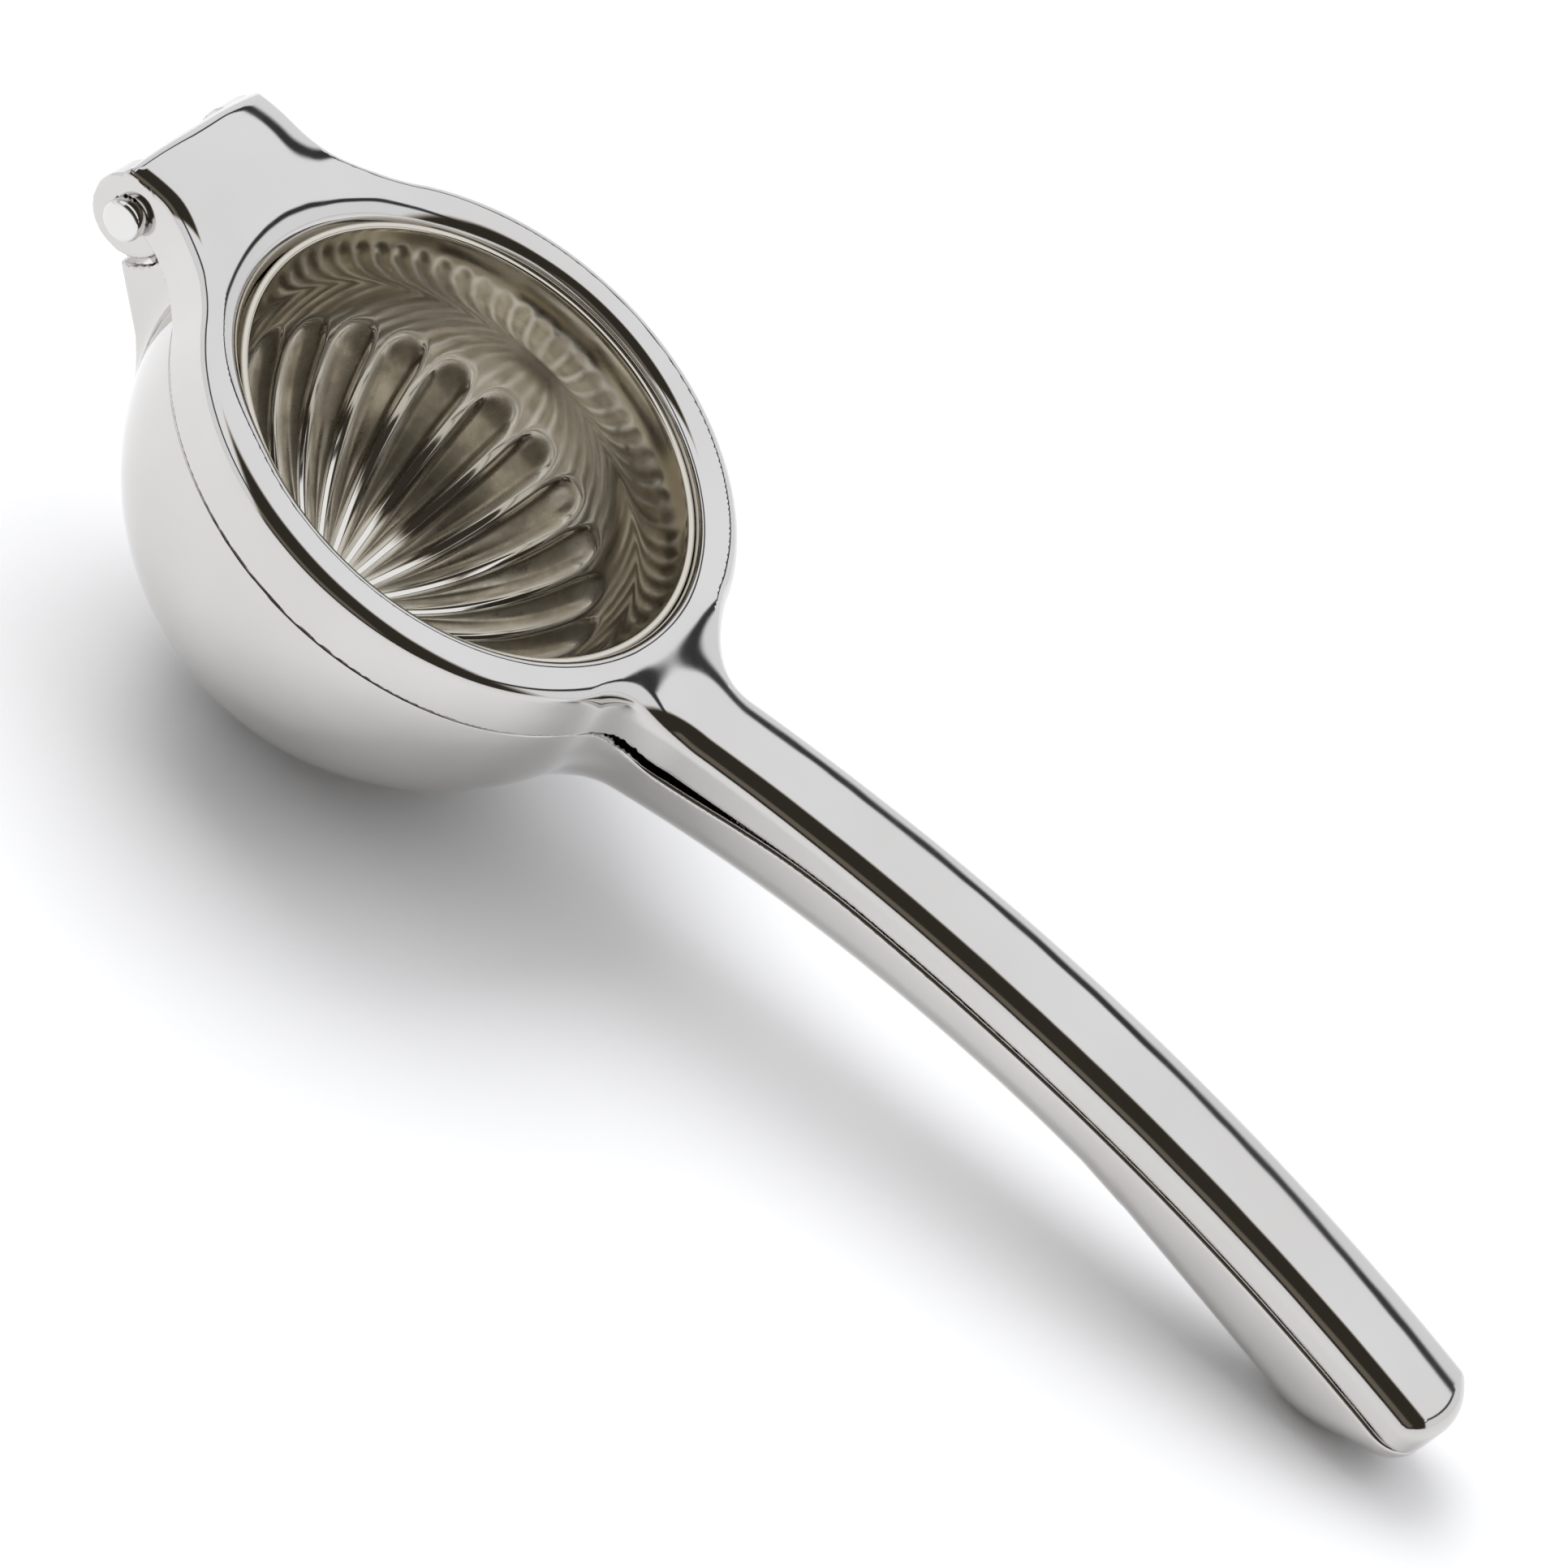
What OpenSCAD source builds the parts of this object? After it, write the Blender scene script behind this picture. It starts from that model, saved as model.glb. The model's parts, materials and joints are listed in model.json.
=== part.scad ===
// Two-lever citrus press juicer.
// The levers are drawn with the rim of the bowl level: the origin is the centre of the rim,
// the hinge lies towards -X and the grips towards +X. rest_pose() then lays the closed
// juicer on its bowl and its heel, with the middle of its footprint at the origin.

/* [Bowl] */
// Outer radius of the round bowl
bowl_r = 39; // [34:0.5:48]
// Depth of the bowl's centre below the rim
bowl_drop = 8.4; // [7:0.1:10]
// Wall thickness of the cup
cup_wall = 3; // [2.4:0.1:4]
// Depth of the seam between the levers below the rim
seam_drop = 5.7; // [5:0.1:7]
// Gap left between the closed levers
seam_gap = 0.4; // [0.3:0.05:0.6]

/* [Rim ring] */
// Radius of the rounded top of the ring
ring_round = 3; // [2.4:0.1:3.6]
// Height of the top of the ring above the rim
ring_top = 2.1; // [1.6:0.1:2.6]

/* [Press bowl] */
// Width of the press bowl's lip inside the ring
lip_w = 1.11; // [0.8:0.01:2]
// Distance by which the press bowl's round inside is narrower than its mouth
mouth_flare = 2.2; // [1.5:0.1:5]
// Depth of the centre of that round inside below the rim
press_drop = 9.1; // [8:0.1:11]
// Wall thickness of the press bowl
press_wall = 1.9; // [1.6:0.1:2.4]
// Thickness of the flange that holds the press bowl in the ring
flange_t = 1.5; // [1.2:0.1:2]
// Radial step of that flange
flange_step = 2.2; // [1.6:0.1:2.6]
// Number of flutes
flutes = 24; // [16:2:28]
// Width of the groove between two flutes
groove_w = 1.6; // [1.2:0.1:2]
// Depth of the groove between two flutes
groove_depth = 0.7; // [0.4:0.1:0.9]
// Depth below the rim at which the flutes begin
flute_drop = 15; // [13:0.5:18]
// Radius of the plain spot where the flutes meet
flute_hub_r = 5; // [4:0.5:8]

/* [Drain] */
// Radius of each drain hole
drain_r = 2.3; // [1.8:0.1:2.6]
// Radius of the inner circle of drain holes
drain_pitch = 8; // [7:0.5:10]
// Number of holes on the inner circle
drain_count = 6; // [5:1:7]

/* [Hinge] */
// Distance from the bowl's side to the hinge pin
pin_out = 8.4; // [8:0.1:12]
// Depth of the hinge pin below the rim
pin_drop = 5.3; // [4.9:0.1:6]
// Radius of the hinge pin
pin_r = 2.5; // [2:0.1:2.8]
// Radius of the pin's heads
pin_head_r = 3.1; // [3:0.1:3.6]
// Height of the pin's heads
pin_head_h = 1.9; // [1.2:0.1:2.4]
// Radius of the edge of those heads
pin_head_edge = 0.7; // [0.4:0.1:1]
// Radial clearance of the pin in the lower lever
pin_clearance = 0.05; // [0.03:0.01:0.08]
// Width over the hinge ears
hinge_w = 27; // [24:0.5:32]
// Thickness of each ear
ear_t = 5; // [4:0.1:6]
// Radius of the ears' round ends
ear_r = 5.6; // [5:0.1:6.4]
// Radius of the knuckle between the ears
knuckle_r = 4.4; // [4:0.1:4.6]
// Side gap between an ear and the knuckle
ear_gap = 0.3; // [0.2:0.05:0.5]
// Gap around the ears' round ends
ear_round_gap = 0.8; // [0.6:0.1:1.2]
// Distance that the hinge plate runs past the pin
plate_past_pin = 3.9; // [2.5:0.1:4.2]
// Height of the hinge plate above the rim
plate_top = 1.8; // [1.4:0.1:2]
// Gap between the hinge plate and the knuckle
knuckle_gap = 0.5; // [0.4:0.05:0.8]
// Fillet between the hinge plate and the ring
neck_fillet = 9; // [6:0.5:12]

/* [Grips] */
// Distance from the rim's centre to the end of the grips
grip_reach = 169.5; // [140:0.5:205]
// Width of the upper grip
grip_w = 14.8; // [13:0.1:18]
// Height of the upper grip's side
grip_t = 6.8; // [6:0.1:8]
// Radius of the upper grip's top edges
grip_round = 3.6; // [2.5:0.1:4]
// Radius of the arch that the upper grip follows
arch_r = 335; // [300:5:400]
// Height of the upper grip above the rim where it leaves the ring
grip_root_z = -0.4; // [-1:0.1:0.5]
// Height of the upper grip above the rim at its end
grip_end_z = 13.2; // [11:0.1:15]
// Lean of the upper grip's end face
end_lean = 28; // [15:1:35]
// Corner radius of the grips' ends, seen from above
end_round = 4.5; // [3:0.1:6]
// Fillet between the upper grip and the ring
root_fillet = 7; // [4:0.5:10]
// Height of the wedge that stays open between the grips at the bowl
root_wedge = 1.4; // [1:0.1:3]
// Distance from the rim's centre to where that wedge closes
wedge_reach = 76; // [65:1:90]
// Wall thickness of the hollow grips
grip_wall = 2.6; // [2.2:0.1:3.2]
// Height of the lower grip's underside where it leaves the bowl
belly_root_z = -21.5; // [-23:0.5:-19]
// Height of the lower grip's underside at its middle
belly_mid_z = -3; // [-4:0.5:-2]
// Radius of the arch that the lower grip's underside follows
belly_r = 208; // [190:2:230]
// Radius of the lower grip's bottom edges
belly_round = 5.5; // [4:0.1:6.5]
// Radius of the heel
heel_r = 14.5; // [13:0.5:16]
// Distance from the end of the grips to the middle of the heel
heel_inset = 18; // [16:0.5:21]
// Height of the heel's centre above the rim
heel_z = 9; // [8:0.5:10]
// Radius of the lower grip's tip
tip_r = 5.8; // [5:0.1:6.5]
// Distance by which the lower grip's tip is shorter than the upper grip
tip_inset = 1.4; // [1:0.1:3]
// Distance by which the lower grip is narrower than the upper one
belly_inset = 0.4; // [0.2:0.1:1]
// Depth of the channel in the lower grip
channel_deep = 5; // [3:0.5:6]
// Depth of the flat on which the heel rests
heel_flat = 0.25; // [0.2:0.05:0.4]

/* [Hidden] */
$fn = 96;
fine_fn = 720;
hull_fn = 32;
corner_blend = 0.15;
big = 400;
chrome = [0.80, 0.80, 0.81];
satin = [0.48, 0.45, 0.38];
steel = [0.72, 0.72, 0.73];

pin_reach = bowl_r + pin_out;
seam_z = -seam_drop;
cup_top_z = seam_z - seam_gap;
pin_x = -pin_reach;
pin_z = -pin_drop;
plate_end_x = pin_x - plate_past_pin;
tongue_w = hinge_w - 2 * ear_t - 2 * ear_gap;
slot_w = hinge_w - 2 * ear_t;

// The ring's rounded top touches the bowl's round side from within.
ring_mid_z = ring_top - ring_round;
ring_mid_r = sqrt(pow(bowl_r - ring_round, 2) - pow(bowl_drop + ring_mid_z, 2));
seat_r = ring_mid_r - ring_round;
flange_r = seat_r + flange_step;
mouth_r = seat_r - lip_w;
press_r = mouth_r - mouth_flare;

// Centre of the arch of radius r over the points a and b, below them.
function arch_centre(a, b, r) =
    let (half = (b - a) / 2, d = norm(half), n = [half[1], -half[0]] / d)
    a + half + n * sqrt(r * r - d * d);
// Height of that arch at x.
function arch_z(c, r, x) = c[1] + sqrt(r * r - pow(x - c[0], 2));
// Angle of a point seen from c.
function angle_from(c, p) = atan2(p[1] - c[1], p[0] - c[0]);

grip_root_x = bowl_r + 3;
grip_start_x = seat_r + 2;
arch_c = arch_centre([grip_root_x, grip_root_z], [grip_reach - 4, grip_end_z], arch_r);
seam_r = arch_r - grip_t;
lower_r = seam_r - seam_gap;
// The lower grip follows the same arch, turned so that a wedge stays open at the bowl.
wedge_end_dir = angle_from(arch_c, [wedge_reach, arch_z(arch_c, lower_r, wedge_reach)]);
wedge_root_dir = angle_from(arch_c, [grip_root_x, arch_z(arch_c, lower_r, grip_root_x)]);
wedge_shift = root_wedge / sin(wedge_root_dir - wedge_end_dir);
wedge_c = arch_c + wedge_shift * [sin(wedge_end_dir), -cos(wedge_end_dir)];
grip_end_low = [grip_reach, arch_z(arch_c, seam_r, grip_reach)];
belly_w = grip_w - belly_inset;
belly_mid_x = grip_root_x + (grip_reach - grip_root_x) * 0.6;
belly_c = arch_centre([grip_root_x, belly_root_z], [belly_mid_x, belly_mid_z], belly_r);
heel_x = grip_reach - heel_inset;
tip_x = grip_reach - tip_inset - tip_r;
tip_c = [tip_x, arch_z(arch_c, lower_r, tip_x) - 0.4];

// The closed juicer rests on the bowl and the heel, along the line that touches both.
rest_d = [heel_x, heel_z + bowl_drop];
rest_tilt = atan2(rest_d[1], rest_d[0]) + asin((bowl_r - heel_r + heel_flat) / norm(rest_d));
function rest_x(p) = p[0] * cos(rest_tilt) + p[1] * sin(rest_tilt);
rest_back = rest_x([pin_x, pin_z]) - ear_r;
rest_front = rest_x(grip_end_low);
rest_up = bowl_r + bowl_drop * cos(rest_tilt);

module rest_pose() {
    translate([-(rest_back + rest_front) / 2, 0, rest_up]) rotate([0, rest_tilt, 0]) children();
}

// Turns a drawing of the side, with x along the juicer and y up, into a slab of width w.
module side_slab(w) {
    rotate([90, 0, 0]) linear_extrude(w, center = true) children();
}

module cross_pin(r, w) {
    translate([pin_x, 0, pin_z]) rotate([90, 0, 0]) cylinder(r = r, h = w, center = true);
}

// Sweeps a section, drawn with x outwards from c and y across, between two angles.
module swept_arch(c, from, to) {
    translate([c[0], 0, c[1]]) rotate([90, 0, 0]) rotate([0, 0, from])
        rotate_extrude(angle = to - from, $fn = fine_fn) children();
}

// Strip from the bowl's centre to x, with fillets of radius f against a circle of radius r.
module filleted_strip(x, w, r, f) {
    corner_x = sqrt(pow(r + f, 2) - pow(w / 2 + f, 2));
    side = x < 0 ? -1 : 1;
    translate([side < 0 ? x : 0, -w / 2]) square([abs(x), w]);
    difference() {
        translate([side < 0 ? -corner_x : 0, -w / 2 - f]) square([corner_x, w + 2 * f]);
        for (s = [-1, 1]) translate([side * corner_x, s * (w / 2 + f)]) circle(f);
        circle(r - f);
    }
}

module bowl_ball(r) {
    translate([0, 0, -bowl_drop]) sphere(r, $fn = 180);
}

module above(z) {
    translate([-big, -big, z]) cube([2 * big, 2 * big, big]);
}

// ---- Lower lever ----

// Underside of the lower grip, from the bowl to its middle.
module belly_section() {
    half = belly_w / 2;
    high = grip_root_z - belly_root_z + 3;
    translate([belly_r, 0]) {
        translate([belly_round, -half]) square([high, belly_w]);
        translate([0, -half + belly_round]) square([high, belly_w - 2 * belly_round]);
        for (s = [-1, 1]) translate([belly_round, s * (half - belly_round)]) circle(belly_round);
    }
}

// Disc with rounded edges, standing on its rim.
module rounded_disc(p, r) {
    e = min(belly_round, r / 2);
    translate([p[0], 0, p[1]]) rotate([90, 0, 0])
        for (s = [-1, 1]) rotate_extrude($fn = hull_fn)
            translate([r - e, s * (belly_w / 2 - e)]) circle(e, $fn = hull_fn);
}

module heel() {
    mid_r = 10;
    hull() {
        rounded_disc([belly_mid_x, belly_mid_z + mid_r], mid_r);
        rounded_disc([heel_x, heel_z], heel_r);
        rounded_disc(tip_c, tip_r);
    }
}

module lower_grip() {
    from = angle_from(belly_c, [belly_mid_x, belly_mid_z]);
    to = angle_from(belly_c, [bowl_r - 6, belly_root_z - 3]);
    difference() {
        intersection() {
            union() {
                swept_arch(belly_c, from, to) belly_section();
                heel();
            }
            arch_disc(arch_c, lower_r);
            arch_disc(wedge_c, lower_r);
        }
        lower_grip_hollow();
    }
}

// Solid under an arch.
module arch_disc(c, r) {
    translate([c[0], 0, c[1]]) rotate([90, 0, 0])
        cylinder(r = r, h = 2 * grip_w, center = true, $fn = fine_fn);
}

// Channel in the lower grip, open towards the upper one.
module lower_grip_hollow() {
    w = belly_w - 2 * grip_wall;
    from = angle_from(arch_c, [heel_x + 6, arch_z(arch_c, lower_r, heel_x + 6)]);
    to = angle_from(arch_c, [grip_root_x + 8, arch_z(arch_c, lower_r, grip_root_x + 8)]);
    swept_arch(arch_c, from, to) translate([lower_r - channel_deep, -w / 2]) square([channel_deep + 1, w]);
}

module lug_outline(top) {
    polygon([
        [pin_x + 3, pin_z - 6.2], [pin_x + 5.6, pin_z - 9], [pin_x + 9.6, pin_z - 12.2],
        [pin_x + 13.4, pin_z - 16], [-bowl_r + 9, pin_z - 10], [-bowl_r + 9, top], [pin_x + 3, top]
    ]);
}

module lug() {
    difference() {
        side_slab(hinge_w) lug_outline(cup_top_z);
        cross_pin(ear_r + ear_round_gap, hinge_w + 1);
    }
    side_slab(tongue_w) {
        translate([pin_x, pin_z]) circle(knuckle_r);
        lug_outline(cup_top_z);
        polygon([
            [pin_x - 1, pin_z - knuckle_r + 0.2], [pin_x, pin_z], [pin_x + 4, cup_top_z],
            [pin_x + 5.6, pin_z - 9], [pin_x + 3, pin_z - 6.2]
        ]);
    }
}

module drain_holes() {
    rings = [[0, 1], [drain_pitch, drain_count], [2 * drain_pitch, 2 * drain_count]];
    for (ring = rings) for (i = [0 : ring[1] - 1])
        rotate((i + 0.5) * 360 / ring[1]) translate([ring[0], 0, -bowl_drop - bowl_r - 1])
            cylinder(r = drain_r, h = bowl_r * 0.6);
}

module lower_lever() {
    color(chrome) rest_pose() difference() {
        union() {
            bowl_ball(bowl_r);
            lower_grip();
            lug();
        }
        bowl_ball(bowl_r - cup_wall);
        translate([0, 0, cup_top_z]) cylinder(r = bowl_r + seam_gap, h = bowl_r);
        drain_holes();
        cross_pin(pin_r + pin_clearance, hinge_w);
        rest_table();
    }
}

// What lies below the table on which the closed juicer rests.
module rest_table() {
    rotate([0, -rest_tilt, 0]) translate([-big, -big, -rest_up - big]) cube([2 * big, 2 * big, big]);
}

// ---- Upper lever ----

module ring_section() {
    intersection() {
        translate([0, -bowl_drop]) circle(bowl_r, $fn = 180);
        union() {
            translate([seat_r, seam_z]) square([bowl_r, ring_mid_z - seam_z]);
            translate([ring_mid_r, ring_mid_z]) circle(ring_round);
        }
    }
}

module hinge_plate() {
    translate([0, 0, seam_z]) linear_extrude(plate_top - seam_z)
        filleted_strip(plate_end_x, hinge_w, bowl_r - 1.5, neck_fillet);
}

module ears() {
    for (s = [-1, 1]) translate([0, s * (hinge_w - ear_t) / 2, 0]) side_slab(ear_t) {
        translate([pin_x, pin_z]) circle(ear_r);
        translate([pin_x, seam_z]) square([pin_reach - bowl_r + 6, -seam_z]);
    }
}

module upper_grip_section() {
    half = grip_w / 2;
    difference() {
        translate([arch_r - grip_t, -half]) square([grip_t, grip_w]);
        for (s = [-1, 1]) translate([arch_r - grip_round, s * (half - grip_round)]) difference() {
            translate([0, s > 0 ? 0 : -grip_round - 1]) square(grip_round + 1);
            circle(grip_round);
        }
    }
}

// What is cut from the end of the upper grip to round its corners, seen from above.
module end_corners() {
    translate([0, 0, -20]) linear_extrude(60) for (s = [-1, 1])
        translate([grip_reach - end_round, s * (grip_w / 2 - end_round + corner_blend)]) difference() {
            translate([0, s > 0 ? 0 : -end_round - 2]) square(end_round + 2);
            circle(end_round);
        }
}

module upper_grip() {
    from = angle_from(arch_c, [grip_reach + 4, grip_end_z]);
    to = angle_from(arch_c, [grip_start_x, arch_z(arch_c, arch_r, grip_start_x)]);
    hollow_from = angle_from(arch_c, [heel_x + 6, grip_end_z]);
    hollow_to = angle_from(arch_c, [grip_root_x + 8, arch_z(arch_c, seam_r, grip_root_x + 8)]);
    w = grip_w - 2 * grip_wall;
    difference() {
        swept_arch(arch_c, from, to) upper_grip_section();
        end_corners();
        swept_arch(arch_c, hollow_from, hollow_to)
            translate([seam_r - 1, -w / 2]) square([grip_t - grip_wall + 1, w]);
        translate([grip_end_low[0], 0, grip_end_low[1]]) rotate([0, -end_lean, 0])
            translate([0, -big / 2, -big / 2]) cube(big);
    }
}

// Web that fills the corners between the ring and the upper grip.
module root_web() {
    intersection() {
        translate([0, 0, seam_z]) linear_extrude(grip_root_z - seam_z)
            filleted_strip(grip_root_x, grip_w, bowl_r - 1.5, root_fillet);
        bowl_ball(bowl_r + 6);
    }
}

module upper_lever() {
    color(chrome) rest_pose() difference() {
        union() {
            rotate_extrude($fn = 180) ring_section();
            hinge_plate();
            ears();
            upper_grip();
            root_web();
        }
        translate([0, 0, seam_z - 1]) cylinder(r = seat_r, h = 40, $fn = 180);
        translate([0, 0, seam_z - 20]) cylinder(r = bowl_r + seam_gap, h = 20);
        translate([0, 0, seam_z - 1]) cylinder(r = flange_r, h = flange_t + 1, $fn = 180);
        cross_pin(knuckle_r + knuckle_gap, slot_w);
        side_slab(slot_w) translate([plate_end_x - 1, seam_z - 8])
            square([pin_reach - bowl_r + plate_past_pin + 3, pin_z - seam_z + 8]);
        cross_pin(pin_r, hinge_w + 1);
    }
}

// ---- Press bowl ----

module press_bowl() {
    color(satin) rest_pose() difference() {
        rotate_extrude($fn = 180) press_section();
        flute_grooves();
    }
}

module press_inside(grow) {
    translate([0, -press_drop]) circle(press_r + grow, $fn = 180);
    polygon([
        [0, -press_drop], [press_r + grow, -press_drop], [mouth_r + grow, 0], [mouth_r + grow, 5], [0, 5]
    ]);
}

module press_section() {
    difference() {
        union() {
            intersection() {
                press_inside(press_wall);
                translate([0, -big]) square([seat_r, big + seam_z + 1]);
            }
            translate([0, seam_z]) square([seat_r, -seam_z + 0.2]);
            translate([0, seam_z]) square([flange_r, flange_t]);
        }
        press_inside(0);
        translate([-big, -big]) square([big, 2 * big]);
    }
}

module flute_grooves() {
    intersection() {
        translate([0, 0, -press_drop]) difference() {
            sphere(press_r + groove_depth, $fn = 180);
            above(press_drop - flute_drop);
            translate([0, 0, -press_r - 5]) cylinder(r = flute_hub_r, h = press_r);
        }
        union() for (i = [0 : flutes / 2 - 1]) rotate(i * 360 / flutes)
            cube([2 * press_r + 4, groove_w, 2 * big], center = true);
    }
}

// ---- Hinge pin ----

module hinge_pin() {
    color(steel) rest_pose() {
        cross_pin(pin_r, hinge_w);
        for (s = [-1, 1]) translate([pin_x, s * hinge_w / 2, pin_z]) rotate([-90 * s, 0, 0])
            rotate_extrude() pin_head_section();
    }
}

module pin_head_section() {
    flat_r = pin_head_r - pin_head_edge;
    flat_h = pin_head_h - pin_head_edge;
    square([pin_head_r, flat_h]);
    square([flat_r, pin_head_h]);
    translate([flat_r, flat_h]) circle(pin_head_edge);
}

lower_lever();
upper_lever();
press_bowl();
hinge_pin();
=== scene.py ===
"""Looks of a two-lever citrus press juicer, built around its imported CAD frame.

The levers are smooth castings, so each is described as one rounded solid (a signed
distance in millimetres, with the rim of the bowl level) and skinned with a fine net of
quads. The fluted press bowl is shaped by Geometry Nodes, and the hinge pin is turned.
"""

import json
import logging
import math
from dataclasses import dataclass
from enum import Enum
from typing import Callable, Sequence

import bpy
import numpy as np
from mathutils import Matrix, Vector

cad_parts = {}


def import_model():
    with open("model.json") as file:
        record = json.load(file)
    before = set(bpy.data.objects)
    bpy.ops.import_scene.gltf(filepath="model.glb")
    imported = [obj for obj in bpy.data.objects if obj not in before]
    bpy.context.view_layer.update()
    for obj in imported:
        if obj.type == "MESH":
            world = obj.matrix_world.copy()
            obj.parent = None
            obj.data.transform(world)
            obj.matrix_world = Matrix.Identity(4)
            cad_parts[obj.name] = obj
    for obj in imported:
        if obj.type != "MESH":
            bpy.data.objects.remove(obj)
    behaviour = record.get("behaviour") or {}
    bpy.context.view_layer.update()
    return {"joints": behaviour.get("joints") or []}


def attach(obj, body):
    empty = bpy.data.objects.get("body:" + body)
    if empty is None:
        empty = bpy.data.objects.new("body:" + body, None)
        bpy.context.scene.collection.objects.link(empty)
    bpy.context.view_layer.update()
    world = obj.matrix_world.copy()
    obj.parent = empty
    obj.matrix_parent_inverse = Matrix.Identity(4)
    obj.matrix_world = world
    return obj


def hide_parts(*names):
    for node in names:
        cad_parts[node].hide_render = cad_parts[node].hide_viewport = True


LOG = logging.getLogger("juicer")
MM = 0.001
Array = np.ndarray


class Slot(Enum):
    """Material slots of the record."""

    CHROME = "polished_chrome"
    SATIN = "satin_metal"
    STEEL = "pin_steel"


class Body(Enum):
    """Bodies of the frame that the pieces ride on."""

    CUP = "cup_half"
    PRESS = "press_half"


# ---- Rounded solids: distances in millimetres, negative inside ----


def smooth_step(low: float, high: float, x: Array) -> Array:
    """Rises smoothly from 0 at low to 1 at high.

    Args:
        low: Where the rise begins.
        high: Where the rise ends.
        x: Places to work it out at.

    Returns:
        The share risen at each place.
    """
    t = np.clip((x - low) / (high - low), 0.0, 1.0)
    return t * t * (3.0 - 2.0 * t)


def both(a: Array, b: Array, r: float = 0.0) -> Array:
    """Keeps what is inside two solids, with the edge between them rounded.

    Args:
        a: Distance to the first solid.
        b: Distance to the second solid.
        r: Radius of the rounded edge, in millimetres.

    Returns:
        Distance to what the solids share.
    """
    near = np.maximum(a, b)
    if np.ndim(r) == 0 and r <= 0.0:
        return near
    return np.minimum(near, -r) + np.hypot(np.maximum(a + r, 0.0), np.maximum(b + r, 0.0))


def either(a: Array, b: Array, r: float = 0.0) -> Array:
    """Joins two solids, with a fillet in the corner between them.

    Args:
        a: Distance to the first solid.
        b: Distance to the second solid.
        r: Radius of the fillet, in millimetres.

    Returns:
        Distance to the joined solid.
    """
    return -both(-a, -b, r)


def without(a: Array, b: Array, r: float = 0.0) -> Array:
    """Cuts solid b out of solid a and rounds the edge that is left.

    Args:
        a: Distance to the solid that is cut.
        b: Distance to the solid that is taken away.
        r: Radius of the edge that is left, in millimetres.

    Returns:
        Distance to what remains.
    """
    return both(a, -b, r)


def blend(a: Array, b: Array, depth: float) -> Array:
    """Joins two solids that nearly touch along a tangent, without a crease.

    Args:
        a: Distance to the first solid.
        b: Distance to the second solid.
        depth: How close the two distances are where the blend begins, in millimetres.

    Returns:
        Distance to the joined solid.
    """
    share = np.maximum(depth - np.abs(a - b), 0.0) / depth
    return np.minimum(a, b) - share * share * depth / 4.0


def drop_shape(x: Array, z: Array, a: Sequence[float], ra: float, b: Sequence[float], rb: float) -> Array:
    """Distance, in the side view, to two discs and what lies between their tangents.

    Args:
        x: Places along the juicer.
        z: Heights.
        a: Centre of the first disc.
        ra: Radius of the first disc.
        b: Centre of the second disc.
        rb: Radius of the second disc.

    Returns:
        The distance, negative inside.
    """
    far = math.hypot(b[0] - a[0], b[1] - a[1])
    dx, dz = (b[0] - a[0]) / far, (b[1] - a[1]) / far
    along = (x - a[0]) * dx + (z - a[1]) * dz
    aside = np.abs((z - a[1]) * dx - (x - a[0]) * dz)
    lean = (ra - rb) / far
    level = math.sqrt(1.0 - lean * lean)
    side = level * along - lean * aside
    first, last = np.hypot(aside, along) - ra, np.hypot(aside, along - far) - rb
    between = level * aside + lean * along - ra
    return np.where(side < 0.0, first, np.where(side > level * far, last, between))


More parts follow.
